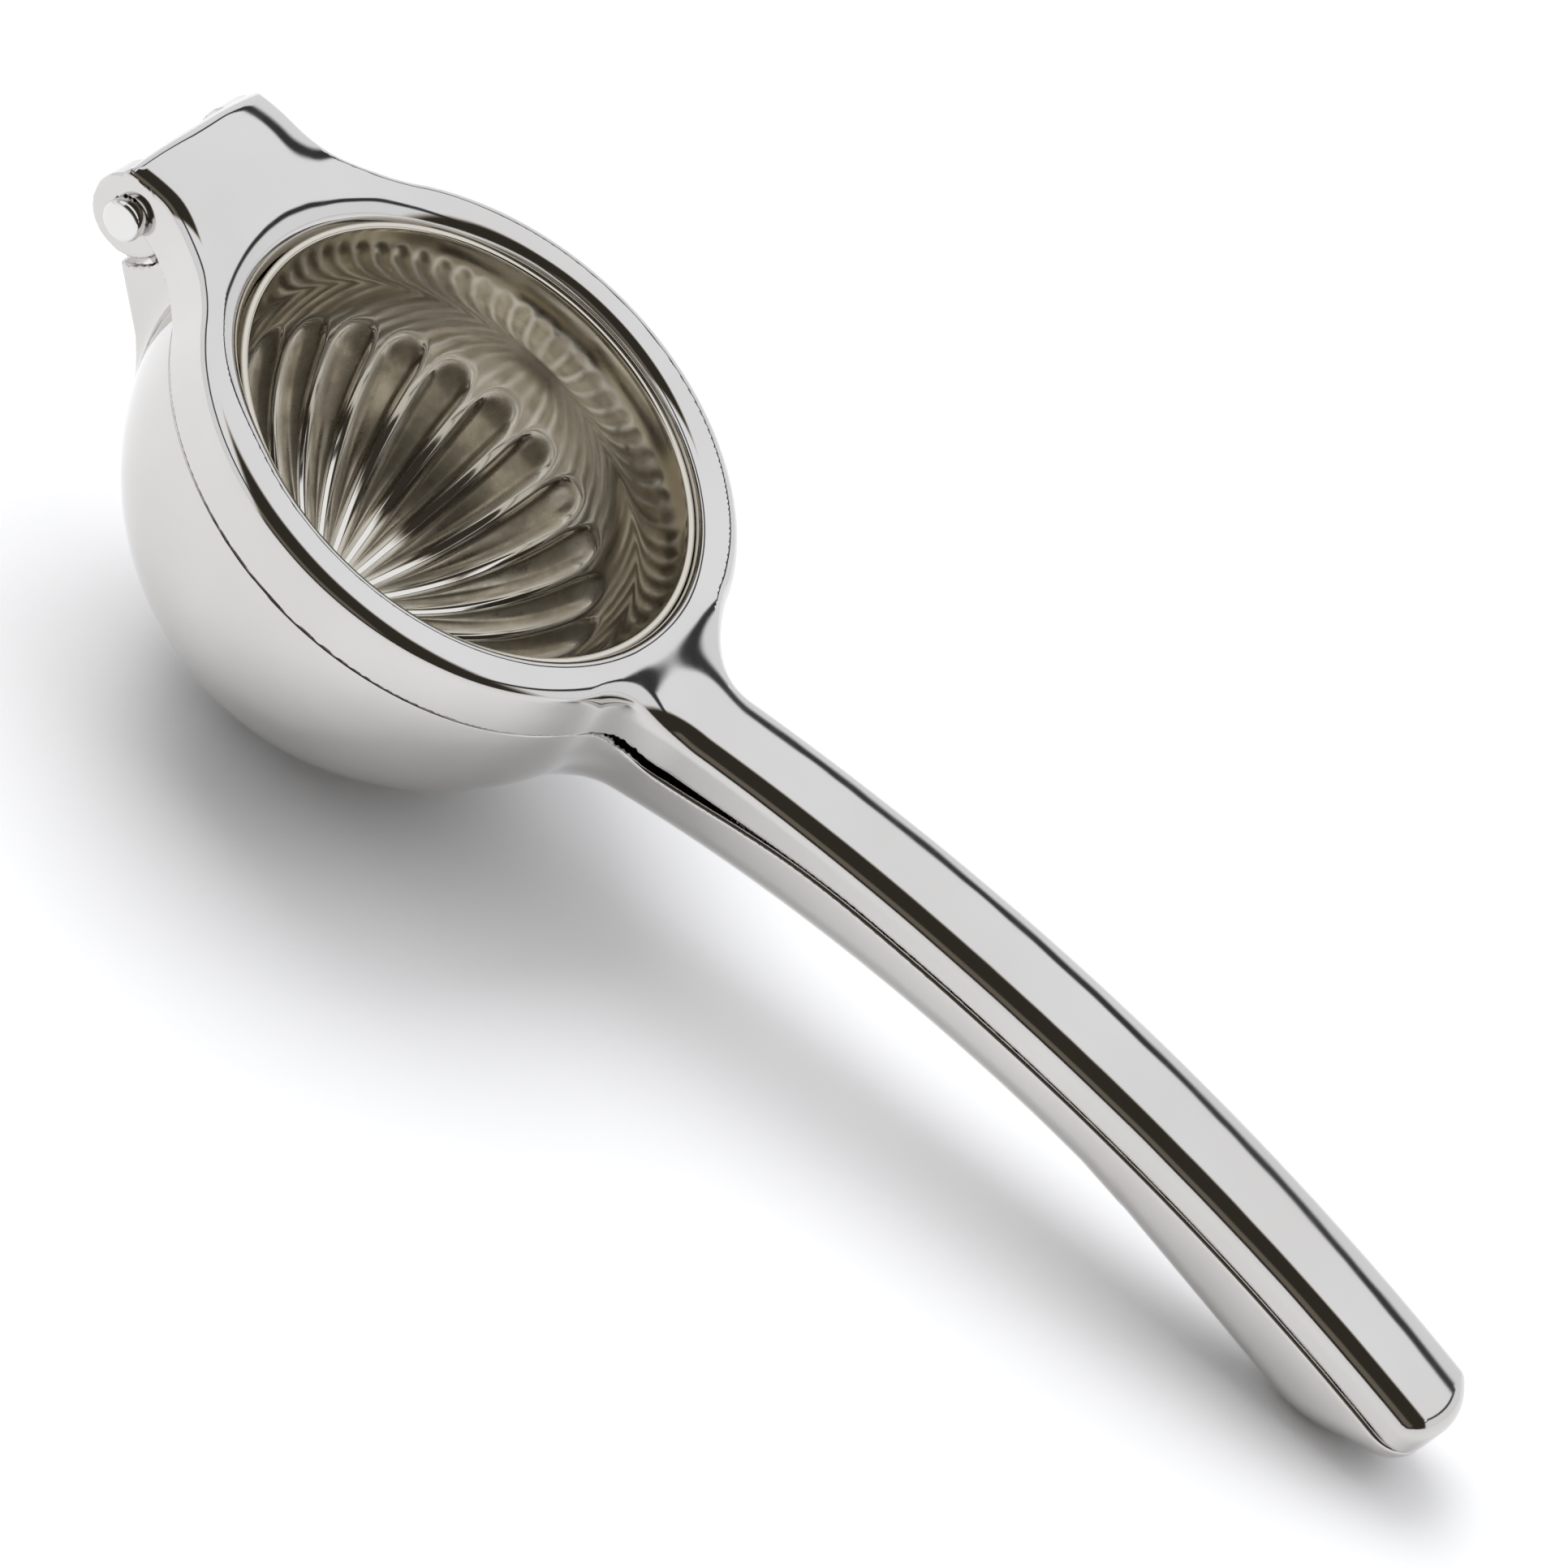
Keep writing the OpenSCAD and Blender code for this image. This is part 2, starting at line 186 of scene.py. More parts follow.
@dataclass(frozen=True)
class Design:
    """Sizes that the pieces share, in millimetres, with the rim level and +X to the grips."""

    bowl_r: float = 39.0
    bowl_drop: float = 8.4
    cup_wall: float = 3.0
    seam_z: float = -5.7
    seam_gap: float = 0.4
    ring_top: float = 2.1
    seat_r: float = 32.2
    mouth_r: float = 31.1
    press_r: float = 28.9
    press_drop: float = 9.1
    press_wall: float = 1.9
    pin_x: float = -47.4
    pin_z: float = -5.3
    pin_r: float = 2.5
    hinge_w: float = 27.0
    ear_t: float = 5.0
    ear_r: float = 5.6
    knuckle_r: float = 4.4
    grip_reach: float = 169.5
    grip_w: float = 14.8
    grip_t: float = 6.8
    arch_r: float = 335.0
    grip_root: tuple[float, float] = (42.0, -0.4)
    grip_end: tuple[float, float] = (165.5, 13.2)
    heel: tuple[float, float] = (151.5, 9.0)
    heel_r: float = 14.5
    heel_flat: float = 0.25
    root_sag: float = 1.2
    sag_from: float = 33.0
    sag_full: float = 3.0
    seam_turn: tuple[float, float] = (-0.5, 7.0)
    edge_reach: float = 8.0
    channel_span: tuple[float, float] = (54.0, 155.0)
    channel_edge: float = 1.2
    channel_end: float = 3.0

    @staticmethod
    def arch_centre(a: tuple[float, float], b: tuple[float, float], r: float) -> tuple[float, float]:
        """Finds the centre, below them, of the arch of a radius over two points.

        Args:
            a: Root of the arch, as x and z.
            b: End of the arch, as x and z.
            r: Radius of the arch.

        Returns:
            The centre, as x and z.
        """
        half_x, half_z = (b[0] - a[0]) / 2.0, (b[1] - a[1]) / 2.0
        half = math.hypot(half_x, half_z)
        down = math.sqrt(r * r - half * half) / half
        return a[0] + half_x + half_z * down, a[1] + half_z - half_x * down

    @property
    def arch(self) -> tuple[float, float]:
        """Centre of the arch that the grips follow."""
        return self.arch_centre(self.grip_root, self.grip_end, self.arch_r)

    @property
    def seam_r(self) -> float:
        """Radius of the arch of the upper grip's underside."""
        return self.arch_r - self.grip_t

    @property
    def tilt(self) -> float:
        """Angle by which the grips dip when the closed juicer lies on its bowl and heel."""
        rise = self.heel[1] + self.bowl_drop
        far = math.hypot(self.heel[0], rise)
        drop = self.bowl_r - self.heel_r + self.heel_flat
        return math.atan2(rise, self.heel[0]) + math.asin(drop / far)

    def over_arch(self, x: Array, z: Array) -> Array:
        """Height above the upper grip's underside, measured from the arch's centre."""
        cx, cz = self.arch
        return np.hypot(x - cx, z - cz) - self.seam_r

    def over_seam(self, x: Array, y: Array, z: Array) -> Array:
        """Height above the upper lever's underside: level on the bowl, arched along the grip."""
        first, last = (self.bowl_r + turn for turn in self.seam_turn)
        out = smooth_step(first, last, np.where(x > 0.0, np.hypot(x, y), 0.0))
        root = self.grip_root[0]
        sag = self.root_sag * smooth_step(root + self.sag_from, root + self.sag_full, x)
        return out * (self.over_arch(x, z) + sag) + (1.0 - out) * (z - self.seam_z)

    def table(self, x: Array, z: Array) -> Array:
        """Distance below the table that the closed juicer lies on."""
        down = math.sin(self.tilt) * x - math.cos(self.tilt) * z
        return down - (self.bowl_r + self.bowl_drop * math.cos(self.tilt))


@dataclass(frozen=True)
class Lie:
    """How the levelled drawing lies in the frame: turned by the tilt and set on its pin."""

    design: Design
    pin: Vector

    @property
    def matrix(self) -> Matrix:
        """Takes levelled millimetres to metres in the frame."""
        turn = Matrix.Rotation(self.design.tilt, 4, "Y")
        pin = turn @ Vector((self.design.pin_x, 0.0, self.design.pin_z)) * MM
        return Matrix.Translation(self.pin - pin) @ turn @ Matrix.Scale(MM, 4)


# ---- Skinning a rounded solid ----


@dataclass(frozen=True)
class Skin:
    """Net of quads over a solid: corners, their normals and the quads."""

    corners: Array
    normals: Array
    quads: Array


class SurfaceNet:
    """Skins a rounded solid with one corner in each grid cell that its surface crosses."""

    CROWD_REACH = 0.45
    CROWD_COUNT = 7
    CROWD_APART = 0.12

    def __init__(self, solid: Callable[[Array, Array, Array], Array], step: float, band: tuple) -> None:
        """Keeps the solid, the cell size and the low cells' heights: first, last and the seam's."""
        self.solid = solid
        self.step = step
        self.band = band

    def ticks(self, low: float, high: float, band: tuple | None = None) -> Array:
        """Spaces grid planes along one axis.

        Args:
            low: Where they begin.
            high: Where they end.
            band: Between which two places they stand at half the step, and the seam where they crowd.

        Returns:
            The places of the planes.
        """
        if band is None:
            return np.arange(low, high + self.step, self.step, dtype=np.float32)
        below = np.arange(band[0], low - self.step, -self.step)[:0:-1]
        fine = np.arange(band[0], band[1], self.step / 2.0)
        crowd = band[2] + np.linspace(-self.CROWD_REACH, self.CROWD_REACH, self.CROWD_COUNT)
        clear = np.abs(fine - band[2]) > self.CROWD_REACH + self.CROWD_APART
        fine = np.sort(np.concatenate([fine[clear], crowd]))
        above = np.arange(fine[-1] + self.step, high + self.step, self.step)
        return np.concatenate([below, fine, above]).astype(np.float32)

    def slope(self, p: Array, reach: float = 0.02) -> Array:
        """Works out the distance's gradient by small steps each way.

        Args:
            p: Points, one per row.
            reach: Length of a step, in millimetres.

        Returns:
            The gradient at each point.
        """
        out = np.empty_like(p)
        for axis in range(3):
            move = np.zeros(3)
            move[axis] = reach
            ahead, behind = (p + move).T, (p - move).T
            out[:, axis] = (self.solid(*ahead) - self.solid(*behind)) / (2.0 * reach)
        return out

    def settle(self, p: Array, rounds: int = 5) -> tuple[Array, Array]:
        """Moves points onto the surface.

        Args:
            p: Points near the surface.
            rounds: How many times each point is moved.

        Returns:
            The settled points and the unit normals there.
        """
        for _ in range(rounds):
            slope = self.slope(p)
            size = np.maximum((slope**2).sum(1), 0.05)
            move = (self.solid(*p.T) / size)[:, None] * slope
            length = np.linalg.norm(move, axis=1, keepdims=True)
            p = p - move * np.minimum(1.0, 0.5 * self.step / np.maximum(length, 1e-9))
        slope = self.slope(p)
        return p, slope / np.maximum(np.linalg.norm(slope, axis=1, keepdims=True), 1e-9)

    def build(self, low: Sequence[float], high: Sequence[float]) -> Skin:
        """Skins the part of the solid that lies in a box.

        Args:
            low: Lowest corner of the box, in millimetres.
            high: Highest corner of the box, in millimetres.

        Returns:
            The skin.
        """
        axes = [self.ticks(low[0], high[0]), self.ticks(low[1], high[1])]
        axes.append(self.ticks(low[2], high[2], self.band))
        values = self.solid(axes[0][:, None, None], axes[1][None, :, None], axes[2][None, None, :])
        shape = values.shape
        cells, points, quads = [], [], []
        for axis in range(3):
            start = tuple(slice(0, -1) if i == axis else slice(None) for i in range(3))
            stop = tuple(slice(1, None) if i == axis else slice(None) for i in range(3))
            a, b = values[start], values[stop]
            at = np.argwhere((a < 0) != (b < 0))
            va, vb = a[tuple(at.T)].astype(float), b[tuple(at.T)].astype(float)
            place = at.astype(float)
            place[:, axis] += va / (va - vb)
            u, v = (axis + 1) % 3, (axis + 2) % 3
            around = []
            for du, dv in ((0, 0), (1, 0), (1, 1), (0, 1)):
                cell = at.copy()
                cell[:, u] -= du
                cell[:, v] -= dv
                around.append(np.ravel_multi_index(tuple(cell.T), shape))
                cells.append(around[-1])
                points.append(place)
            quad = np.stack(around, 1)
            quads.append(np.where((va < 0)[:, None], quad, quad[:, ::-1]))
        names, index = np.unique(np.concatenate(cells), return_inverse=True)
        placed = np.concatenate(points)
        share = np.bincount(index)
        mean = np.stack([np.bincount(index, placed[:, i]) / share for i in range(3)], 1)
        start = [np.interp(mean[:, i], np.arange(len(axes[i])), axes[i]) for i in range(3)]
        corners, normals = self.settle(np.stack(start, 1))
        return Skin(corners, normals, np.searchsorted(names, np.concatenate(quads)))


def skin_object(name: str, skin: Skin, lie: Lie) -> bpy.types.Object:
    """Makes a smooth mesh object from a skin, laid into the frame.

    Args:
        name: Name of the object.
        skin: The skin, in levelled millimetres.
        lie: Where the drawing lies in the frame.

    Returns:
        The object, at the origin, with its place in its mesh.
    """
    mesh = bpy.data.meshes.new(name)
    mesh.from_pydata(skin.corners.tolist(), [], skin.quads.tolist())
    mesh.transform(lie.matrix)
    mesh.polygons.foreach_set("use_smooth", np.ones(len(mesh.polygons), bool))
    turn = np.array(lie.matrix.to_3x3().normalized())
    mesh.normals_split_custom_set_from_vertices((skin.normals @ turn.T).tolist())
    obj = bpy.data.objects.new(name, mesh)
    bpy.context.scene.collection.objects.link(obj)
    return obj


def lathe(outline: Sequence[tuple[float, float]], turns: int) -> tuple[list, list]:
    """Turns an outline about the Z axis into a closed mesh.

    Args:
        outline: Radius and height of each point, from axis to axis.
        turns: Number of faces around.

    Returns:
        The corners and the faces.
    """
    inner = list(outline[1:-1])
    rows = len(inner)
    angles = [2.0 * math.pi * i / turns for i in range(turns)]
    corners = [(r * math.cos(a), r * math.sin(a), z) for r, z in inner for a in angles]
    faces = [
        (j * turns + i, j * turns + (i + 1) % turns, (j + 1) * turns + (i + 1) % turns, (j + 1) * turns + i)
        for j in range(rows - 1)
        for i in range(turns)
    ]
    for z, row, flip in ((outline[0][1], 0, True), (outline[-1][1], rows - 1, False)):
        pole = len(corners)
        corners.append((0.0, 0.0, z))
        for i in range(turns):
            a, b = row * turns + i, row * turns + (i + 1) % turns
            faces.append((b, a, pole) if flip else (a, b, pole))
    return corners, faces


def arc(centre: tuple[float, float], r: float, start: float, stop: float, steps: int) -> list:
    """Points along an arc in a plane, its angles in degrees, both ends included."""
    angles = [math.radians(start + (stop - start) * i / steps) for i in range(steps + 1)]
    return [(centre[0] + r * math.cos(a), centre[1] + r * math.sin(a)) for a in angles]


# ---- Shader and geometry expressions ----


class Wire:
    """A node's output socket, or a number, that takes part in expressions."""

    def __init__(self, tree: "Tree", socket: object) -> None:
        """Keeps the tree that new nodes go to and the socket or number."""
        self.tree = tree
        self.socket = socket

    def math(self, operation: str, *others: object) -> "Wire":
        """Adds one Math node.

        Args:
            operation: Name of the operation.
            others: Further values after this one.

        Returns:
            The node's output.
        """
        return self.tree.node("ShaderNodeMath", {"operation": operation}, self, *others)

    def __add__(self, other: object) -> "Wire":
        """Sum."""
        return self.math("ADD", other)

    def __sub__(self, other: object) -> "Wire":
        """Difference."""
        return self.math("SUBTRACT", other)

    def __mul__(self, other: object) -> "Wire":
        """Product."""
        return self.math("MULTIPLY", other)

    def __truediv__(self, other: object) -> "Wire":
        """Quotient."""
        return self.math("DIVIDE", other)

    def __rsub__(self, other: object) -> "Wire":
        """Difference from a number."""
        return self.tree.value(other).math("SUBTRACT", self)

    __radd__ = __add__
    __rmul__ = __mul__

    def clamp(self) -> "Wire":
        """Limits the value to 0 to 1."""
        return self.math("MAXIMUM", 0.0).math("MINIMUM", 1.0)

    def ramp(self, low: float, high: float) -> "Wire":
        """Rises smoothly from 0 at low to 1 at high."""
        settings = {"interpolation_type": "SMOOTHSTEP"}
        return self.tree.node("ShaderNodeMapRange", settings, self, low, high, 0.0, 1.0)


class Tree:
    """Makes nodes in one node tree."""

    def __init__(self, tree: bpy.types.NodeTree) -> None:
        """Keeps the tree."""
        self.tree = tree

    def value(self, number: float) -> Wire:
        """Wraps a plain number."""
        return Wire(self, number)

    def node(self, kind: str, settings: dict | None = None, *values: object, **named: object) -> Wire:
        """Adds one node.

        Args:
            kind: Blender's name for the node.
            settings: Properties that are set before the sockets.
            values: Values or wires for the first sockets, in order; None leaves one as it is.
            named: Values or wires for sockets by name, with _ for a space.

        Returns:
            The node's first enabled output.
        """
        made = self.tree.nodes.new(kind)
        for key, setting in (settings or {}).items():
            setattr(made, key, setting)
        pairs = list(zip([s for s in made.inputs if s.enabled], values))
        pairs += [(made.inputs[key.replace("_", " ")], value) for key, value in named.items()]
        for socket, value in pairs:
            self.plug(socket, value)
        outputs = [s for s in made.outputs if s.enabled]
        return Wire(self, outputs[0]) if outputs else Wire(self, made)

    def plug(self, socket: bpy.types.NodeSocket, value: object) -> None:
        """Links a wire to a socket, or sets a plain value on it."""
        if isinstance(value, Wire):
            value = value.socket
        if isinstance(value, bpy.types.NodeSocket):
            self.tree.links.new(value, socket)
        elif value is not None:
            socket.default_value = value

    def out(self, wire: Wire, name: str) -> Wire:
        """Another output of the node that a wire comes from."""
        return Wire(self, wire.socket.node.outputs[name])


# ---- Finishes ----


@dataclass(frozen=True)
class Finish:
    """A polished metal: its colour, its polish and the faint ripple that polishing leaves."""

    name: str
    colour: tuple[float, float, float]
    deep: tuple[float, float, float]
    polish: float
    haze: float
    ripple: float
    ripple_mm: float

    def shade(self, tree: Tree, point: Wire) -> dict[str, Wire]:
        """Builds what varies over the surface.

        Args:
            tree: The material's tree.
            point: Object coordinates.

        Returns:
            Wires for the shader's sockets, by socket name.
        """
        cloud = tree.node("ShaderNodeTexNoise", None, point, Scale=28.0, Detail=3.0, Roughness=0.55)
        fine = tree.node("ShaderNodeTexNoise", None, point, Scale=420.0, Detail=4.0, Roughness=0.6)
        wave = tree.node("ShaderNodeTexNoise", None, point, Scale=1.0 / (self.ripple_mm * MM), Detail=1.0)
        mix = tree.node(
            "ShaderNodeMix", {"data_type": "RGBA"}, Factor=cloud.ramp(0.3, 0.7), A=(*self.colour, 1.0),
            B=(*self.deep, 1.0),
        )
        rough = cloud.ramp(0.35, 0.75) * self.haze + fine.ramp(0.45, 0.8) * (self.haze * 0.6) + self.polish
        bump = tree.node(
            "ShaderNodeBump", None, Strength=1.0, Distance=self.ripple * MM, Height=wave,
        )
        return {"Base Color": mix, "Roughness": rough, "Normal": bump}

    def material(self) -> bpy.types.Material:
        """Builds the material."""
        made = bpy.data.materials.new(self.name)
        made.use_nodes = True
        tree = Tree(made.node_tree)
        shader = made.node_tree.nodes["Principled BSDF"]
        shader.inputs["Metallic"].default_value = 1.0
        coords = tree.node("ShaderNodeTexCoord")
        for name, wire in self.shade(tree, tree.out(coords, "Object")).items():
            tree.plug(shader.inputs[name], wire)
        return made


@dataclass(frozen=True)
class FluteFinish(Finish):
    """Satin flutes with polished grooves between them and a rippled polished band above."""

    satin: tuple[float, float, float] = (0.53, 0.48, 0.385)
    satin_rough: float = 0.2

    def shade(self, tree: Tree, point: Wire) -> dict[str, Wire]:
        """Builds what varies over the surface.

        Args:
            tree: The material's tree.
            point: Object coordinates.

        Returns:
            Wires for the shader's sockets, by socket name.
        """
        lobe = tree.out(tree.node("ShaderNodeAttribute", {"attribute_name": "lobe"}), "Fac")
        band = tree.out(tree.node("ShaderNodeAttribute", {"attribute_name": "band"}), "Fac")
        cloud = tree.node("ShaderNodeTexNoise", None, point, Scale=150.0, Detail=6.0, Roughness=0.66)
        grain = tree.node("ShaderNodeTexNoise", None, point, Scale=900.0, Detail=3.0, Roughness=0.6)
        stretch = tree.node("ShaderNodeMapping", None, point, Scale=(0.3, 0.3, 1.0))
        waves = 1.0 / (self.ripple_mm * MM)
        wave = tree.node("ShaderNodeTexNoise", None, stretch, Scale=waves, Detail=1.5, Distortion=0.6)
        bright = tree.node(
            "ShaderNodeMix", {"data_type": "RGBA"}, Factor=band, A=(*self.colour, 1.0), B=(*self.deep, 1.0)
        )
        matt = tree.node(
            "ShaderNodeMix", {"data_type": "RGBA"}, Factor=cloud.ramp(0.35, 0.7), A=(*self.satin, 1.0),
            B=(*(0.6 * c for c in self.satin), 1.0),
        )
        colour = tree.node("ShaderNodeMix", {"data_type": "RGBA"}, Factor=lobe, A=bright, B=matt)
        satin_rough = cloud.ramp(0.25, 0.75) * 0.2 + grain.ramp(0.3, 0.7) * 0.06 + self.satin_rough
        rough = lobe * satin_rough + (1.0 - lobe) * (cloud.ramp(0.4, 0.8) * self.haze + self.polish)
        height = wave * (band * 1.0 + 0.12) + grain * (lobe * 0.2)
        bump = tree.node("ShaderNodeBump", None, Strength=1.0, Distance=self.ripple * MM, Height=height)
        return {"Base Color": colour, "Roughness": rough, "Normal": bump}


CHROME = Finish(
    "mirror_chrome", colour=(0.65, 0.638, 0.62), deep=(0.61, 0.594, 0.572),
    polish=0.06, haze=0.04, ripple=0.08, ripple_mm=9.0,
)
PIN_STEEL = Finish(
    "pin_steel", colour=(0.76, 0.755, 0.74), deep=(0.70, 0.69, 0.67),
    polish=0.09, haze=0.08, ripple=0.01, ripple_mm=1.2,
)
FLUTES = FluteFinish(
    "fluted_satin", colour=(0.72, 0.70, 0.65), deep=(0.62, 0.585, 0.51),
    polish=0.08, haze=0.08, ripple=0.02, ripple_mm=5.2,
)


# ---- The pieces ----


@dataclass
class Piece:
    """One physical piece: what it is called, what it stands for and what it rides on."""

    design: Design
    lie: Lie
    name: str = ""
    node: str = ""
    body: Body = Body.CUP
    slot: Slot = Slot.CHROME

    def skin_step(self) -> float:
        """Cell size for skins, in millimetres."""
        return 0.7

    def place(self, obj: bpy.types.Object, finish: Finish) -> bpy.types.Object:
        """Dresses the piece and hands it to the frame.

        Args:
            obj: The finished mesh object.
            finish: Its finish.

        Returns:
            The object.
        """
        obj.data.materials.clear()
        obj.data.materials.append(finish.material())
        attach(obj, self.body.value)
        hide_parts(self.node)
        LOG.info("%s: %d faces, rides on %s", obj.name, len(obj.data.polygons), self.body.value)
        return obj


@dataclass
class LowerLever(Piece):
    """Round cup with its hinge lug and the lower grip, cast in one."""

    name: str = "cup_lever"
    node: str = "lower_lever"
    belly_root: tuple[float, float] = (42.0, -21.5)
    belly_mid: tuple[float, float] = (118.5, -3.0)
    belly_r: float = 208.0
    belly_round: float = 5.8
    side_curve: float = 34.0
    side_inset: float = 0.2
    side_waist: float = 0.5
    waist_span: tuple[float, float] = (100.0, 45.0)
    belly_blend: float = 1.2
    fillet_span: tuple[float, float] = (-16.0, -9.0)
    belly_end_r: float = 10.0
    tip: tuple[float, float] = (162.3, 5.8)
    tip_r: float = 5.8
    grip_start: float = 30.0
    lug_end: float = -20.0
    belly_fillet: float = 5.0
    root_fillet: float = 8.0
    lug_fillet: float = 2.0
    lug_back: tuple[float, float] = (5.6, -9.0)
    lug_lean: tuple[float, float] = (0.69, 0.724)
    lug_span: tuple[float, float] = (0.6, 22.0)
    lug_edge: float = 0.5
    lug_clear: float = 0.8
    knuckle_clear: float = 0.3
    knuckle_fillet: float = 1.5
    knuckle_edge: float = 0.4
    edge: float = 0.22
    grip_edge: float = 0.5
    rim_gap: float = 0.06
    grip_gap: float = 0.3
    wedge: float = 1.3
    wedge_reach: float = 66.0
    wedge_start: tuple[float, float] = (-4.0, 1.0)
    channel_deep: float = 5.0
    channel_wall: float = 2.6
    drain_r: float = 2.3
    drain_pitch: float = 8.0
    drain_count: int = 6
    drain_edge: float = 0.5
    pin_clear: float = 0.05

    def grip(self, x: Array, y: Array, z: Array) -> Array:
        """Lower grip with its rounded belly and heel."""
        d = self.design
        cx, cz = d.arch_centre(self.belly_root, self.belly_mid, self.belly_r)
        mid_x, mid_z = self.belly_mid
        belly = np.maximum(self.belly_r - np.hypot(x - cx, z - cz), x - mid_x - self.belly_end_r / 2)
        end = (mid_x, mid_z + self.belly_end_r)
        heel = drop_shape(x, z, end, self.belly_end_r, d.heel, d.heel_r)
        heel = np.minimum(heel, drop_shape(x, z, d.heel, d.heel_r, self.tip, self.tip_r))
        side = blend(belly, heel, self.belly_blend)
        half = d.grip_w / 2 - self.side_inset - self.side_waist * smooth_step(*self.waist_span, x)
        half = half - np.clip(-d.over_arch(x, z), 0.0, 12.0) ** 2 / (2.0 * self.side_curve)
        return both(side, np.abs(y) - half, self.belly_round)

    def over_seam(self, x: Array, y: Array, z: Array) -> Array:
        """Space over the seam, which the upper lever fills."""
        d = self.design
        open_up = smooth_step(self.wedge_reach, d.grip_root[0], x)
        out = smooth_step(d.bowl_r + self.wedge_start[0], d.bowl_r + self.wedge_start[1], x)
        gap = self.rim_gap + (self.grip_gap - self.rim_gap + self.wedge * open_up) * out
        return -(d.over_seam(x, y, z) + gap)

    def lug(self, x: Array, y: Array, z: Array) -> Array:
        """Lug under the ears and the knuckle between them."""
        d = self.design
        px, pz = x - d.pin_x, z - d.pin_z
        first, last = self.lug_span
        (back_x, back_z), (lean_x, lean_z) = self.lug_back, self.lug_lean
        back = -(lean_x * (px - back_x) + lean_z * (pz - back_z))
        slab = both(both(back, z - (d.seam_z - d.seam_gap)), px - last)
        wide = both(both(slab, first - px, 2.0 * self.lug_edge), np.abs(y) - d.hinge_w / 2, self.lug_edge)
        wide = without(wide, np.hypot(px, pz) - (d.ear_r + self.lug_clear), self.knuckle_edge)
        knuckle = either(np.hypot(px, pz) - d.knuckle_r, both(slab, -px), self.knuckle_fillet)
        tongue = d.hinge_w / 2 - d.ear_t - self.knuckle_clear
        narrow = both(knuckle, np.abs(y) - tongue, self.knuckle_edge)
        return np.minimum(wide, narrow)

    def solid(self, x: Array, y: Array, z: Array) -> Array:
        """Distance to the whole lever."""
        d = self.design
        ball = np.sqrt(x * x + y * y + (z + d.bowl_drop) ** 2)
        grip = both(self.grip(x, y, z), self.grip_start - x)
        high = smooth_step(*self.fillet_span, z)
        fillet = self.belly_fillet + (self.root_fillet - self.belly_fillet) * high
        outer = either(ball - d.bowl_r, grip, fillet)
        outer = either(outer, both(self.lug(x, y, z), x - self.lug_end), self.lug_fillet)
        hinge = both(self.lug(x, y, z), x + d.bowl_r + 1.0)
        edge = self.edge + self.grip_edge * smooth_step(d.bowl_r, d.bowl_r + d.edge_reach, x)
        body = np.minimum(without(outer, self.over_seam(x, y, z), edge), hinge)
        body = without(body, ball - (d.bowl_r - d.cup_wall), self.edge)
        half = d.grip_w / 2 - self.channel_wall
        rise = d.over_arch(x, z) + self.channel_deep
        ends = both(d.channel_span[0] - x, x - d.channel_span[1])
        channel = both(both(np.abs(y) - half, -rise, d.channel_edge), ends, d.channel_end)
        body = without(body, channel, self.edge)
        for ring in range(3):
            count = max(1, ring * self.drain_count)
            for i in range(count):
                a = 2.0 * math.pi * (i + 0.5) / count
                cx, cy = ring * self.drain_pitch * math.cos(a), ring * self.drain_pitch * math.sin(a)
                hole = both(np.hypot(x - cx, y - cy) - self.drain_r, z + 0.5 * d.bowl_r)
                body = without(body, hole, self.drain_edge)
        bore = np.hypot(x - d.pin_x, z - d.pin_z) - (d.pin_r + self.pin_clear)
        body = without(body, bore)
        return both(body, d.table(x, z))

    def build(self) -> bpy.types.Object:
        """Skins the lever and places it."""
        net = SurfaceNet(self.solid, self.skin_step() * 1.03, (-11.0, 10.0, self.design.seam_z))
        skin = net.build((-55.0, -41.0, -50.0), (172.0, 41.0, 12.0))
        return self.place(skin_object(self.name, skin, self.lie), CHROME)


